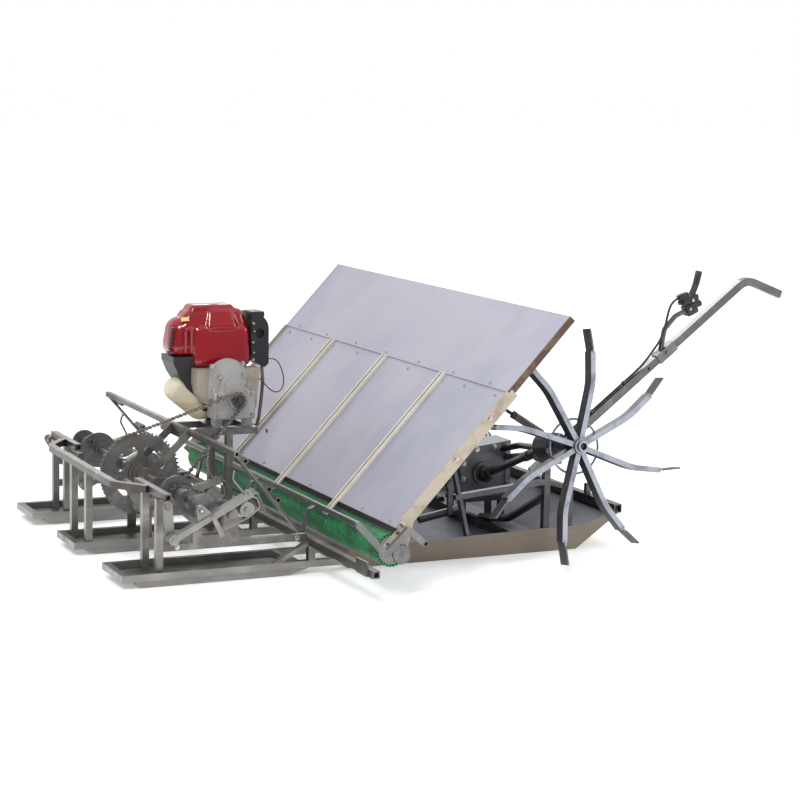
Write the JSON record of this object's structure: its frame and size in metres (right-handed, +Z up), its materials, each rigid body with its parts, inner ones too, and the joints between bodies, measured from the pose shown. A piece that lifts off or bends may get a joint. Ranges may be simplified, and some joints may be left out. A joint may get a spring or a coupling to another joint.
{
  "type": "walk behind rice transplanter",
  "caption": "Hand-steered rice transplanter: skids and planting arms behind a sloping seedling tray, a shallow hull, bent-spoke wheels and a single handle bar.",
  "frame": {"origin": "under the middle of the machine's overall box, on the ground", "axes": "+X forward, towards the wheels and the handle's end; +Y to the machine's left; +Z up"},
  "size_m": [1.8936, 1.438, 0.5911],
  "materials": {
    "frame_steel": "satin",
    "dark_steel": "satin",
    "machined_steel": "satin",
    "chain_steel": "satin",
    "tray_sheet": "satin",
    "tray_rib": "matte",
    "roller_mesh": "matte",
    "engine_red": "gloss",
    "engine_black": "matte",
    "tank_plastic": "satin",
    "cast_alloy": "cast",
    "case_iron": "satin",
    "hull_steel": "satin",
    "wheel_steel": "satin",
    "lever_plastic": "matte"
  },
  "bodies": {
    "frame": {"skids": "frame_steel", "rear_rail": "frame_steel", "side_rails": "frame_steel", "drive_chain": "chain_steel", "feed_chain": "chain_steel", "crossbeam": "frame_steel", "top_beam": "frame_steel", "gate_bars": "frame_steel", "engine_stand": "frame_steel", "hull": "hull_steel", "hull_crossmembers": "frame_steel", "side_frames": "frame_steel", "guide_rail": "frame_steel", "retaining_rod": "frame_steel", "bow_bar": "frame_steel", "gearbox": "case_iron", "idler_arm": "frame_steel", "wheel_housings": "case_iron", "drive_shafts": "dark_steel", "suspension_arms": "dark_steel", "spring_struts": "dark_steel", "handle": "frame_steel", "handle_sleeve": "frame_steel", "lever_tube": "frame_steel", "clutch_lever": "lever_plastic", "engine_core": "engine_black", "reduction_housing": "cast_alloy", "crankcase_cover": "cast_alloy", "engine_shroud": "engine_red", "fuel_tank": "tank_plastic", "air_cleaner": "engine_black", "throttle_conduit": "lever_plastic", "cable_run": "lever_plastic", "clutch_cable": "lever_plastic", "ignition_wire": "lever_plastic"},
    "tray": {"tray_lower": "tray_sheet", "tray_ribs": "tray_rib", "tray_upper": "tray_sheet", "feed_lever": "frame_steel"},
    "feed_roller_body": {"feed_roller": "roller_mesh", "ratchet_wheel": "machined_steel"},
    "crank_body": {"crankshaft": "machined_steel", "main_sprocket": "machined_steel"},
    "counter_body": {"countershaft": "machined_steel"},
    "engine_output": {"engine_sprocket": "machined_steel"},
    "wheel_right_body": {"wheel_right": "wheel_steel"},
    "wheel_left_body": {"wheel_left": "wheel_steel"},
    "arm_1": {"planting_arm_1": "frame_steel", "planting_claw_1": "frame_steel"},
    "rocker_1_body": {"rocker_1": "frame_steel"},
    "arm_2": {"planting_arm_2": "frame_steel", "planting_claw_2": "frame_steel"},
    "rocker_2_body": {"rocker_2": "frame_steel"},
    "arm_3": {"planting_arm_3": "frame_steel", "planting_claw_3": "frame_steel"},
    "rocker_3_body": {"rocker_3": "frame_steel"},
    "arm_4": {"planting_arm_4": "frame_steel", "planting_claw_4": "frame_steel"},
    "rocker_4_body": {"rocker_4": "frame_steel"}
  },
  "joints": [
    {"name": "crank_spin", "type": "hinge", "parent": "frame", "child": "crank_body", "pos_m": [-0.77479, 0, 0.165], "axis": [0, 1, 0], "continuous": true},
    {"name": "counter_spin", "type": "hinge", "parent": "frame", "child": "counter_body", "pos_m": [-0.70179, -0.3, 0.138], "axis": [0, 1, 0], "continuous": true},
    {"name": "engine_spin", "type": "hinge", "parent": "frame", "child": "engine_output", "pos_m": [-0.53979, 0, 0.319], "axis": [0, 1, 0], "continuous": true},
    {"name": "tray_slide", "type": "slide", "parent": "frame", "child": "tray", "axis": [0, 1, 0], "range_m": [-0.069, 0.211]},
    {"name": "feed_roller_spin", "type": "hinge", "parent": "tray", "child": "feed_roller_body", "pos_m": [-0.44479, -0.071, 0.0975], "axis": [0, 1, 0], "continuous": true},
    {"name": "wheel_right_spin", "type": "hinge", "parent": "frame", "child": "wheel_right_body", "pos_m": [0.04321, -0.54, 0.27], "axis": [0, -0.9877, 0.1564], "continuous": true},
    {"name": "wheel_left_spin", "type": "hinge", "parent": "frame", "child": "wheel_left_body", "pos_m": [0.04321, 0.54, 0.27], "axis": [0, 0.9877, 0.1564], "continuous": true},
    {"name": "arm_1_swing", "type": "hinge", "parent": "crank_body", "child": "arm_1", "pos_m": [-0.79459, -0.45, 0.16778], "axis": [0, 1, 0], "continuous": true},
    {"name": "rocker_1_swing", "type": "hinge", "parent": "frame", "child": "rocker_1_body", "pos_m": [-0.85979, -0.431, 0.176], "axis": [0, 1, 0], "range_deg": [-31, 6]},
    {"name": "arm_2_swing", "type": "hinge", "parent": "crank_body", "child": "arm_2", "pos_m": [-0.75498, -0.15, 0.16222], "axis": [0, 1, 0], "continuous": true},
    {"name": "rocker_2_swing", "type": "hinge", "parent": "frame", "child": "rocker_2_body", "pos_m": [-0.85979, -0.169, 0.176], "axis": [0, 1, 0], "range_deg": [-5, 32]},
    {"name": "arm_3_swing", "type": "hinge", "parent": "crank_body", "child": "arm_3", "pos_m": [-0.79459, 0.15, 0.16778], "axis": [0, 1, 0], "continuous": true},
    {"name": "rocker_3_swing", "type": "hinge", "parent": "frame", "child": "rocker_3_body", "pos_m": [-0.85979, 0.169, 0.176], "axis": [0, 1, 0], "range_deg": [-31, 6]},
    {"name": "arm_4_swing", "type": "hinge", "parent": "crank_body", "child": "arm_4", "pos_m": [-0.75498, 0.45, 0.16222], "axis": [0, 1, 0], "continuous": true},
    {"name": "rocker_4_swing", "type": "hinge", "parent": "frame", "child": "rocker_4_body", "pos_m": [-0.85979, 0.431, 0.176], "axis": [0, 1, 0], "range_deg": [-5, 32]}
  ],
  "couplings": [
    {"joint": "counter_spin", "follows": "crank_spin", "ratio": 1},
    {"joint": "engine_spin", "follows": "crank_spin", "ratio": 6},
    {"joint": "arm_1_swing", "follows": "crank_spin", "ratio": -1},
    {"joint": "arm_2_swing", "follows": "crank_spin", "ratio": -1},
    {"joint": "arm_3_swing", "follows": "crank_spin", "ratio": -1},
    {"joint": "arm_4_swing", "follows": "crank_spin", "ratio": -1}
  ]
}
